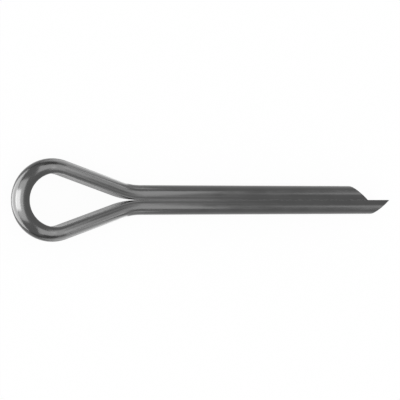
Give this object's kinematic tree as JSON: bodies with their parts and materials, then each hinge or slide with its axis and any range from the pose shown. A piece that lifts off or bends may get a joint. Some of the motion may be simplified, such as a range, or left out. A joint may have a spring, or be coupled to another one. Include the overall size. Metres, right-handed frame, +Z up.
{
  "type": "cotter pin",
  "caption": "Split cotter pin folded from half-round wire: an open teardrop eye, sloping arms, and a longer and a shorter leg lying flat to flat as one round shank with slanted ends.",
  "frame": {"origin": "on the axis of the shank, where the bends between arms and legs end and the round shank begins", "axes": "+X along the shank towards the tips, +Y across the pin towards the shorter leg, +Z square to the plane of the eye; the pin lies flat as it would come to rest, with +Z up"},
  "size_m": [0.0617, 0.0124, 0.0046],
  "materials": {
    "steel": "bright drawn wire"
  },
  "bodies": {
    "root": {"cotter_pin": "steel"}
  },
  "joints": []
}
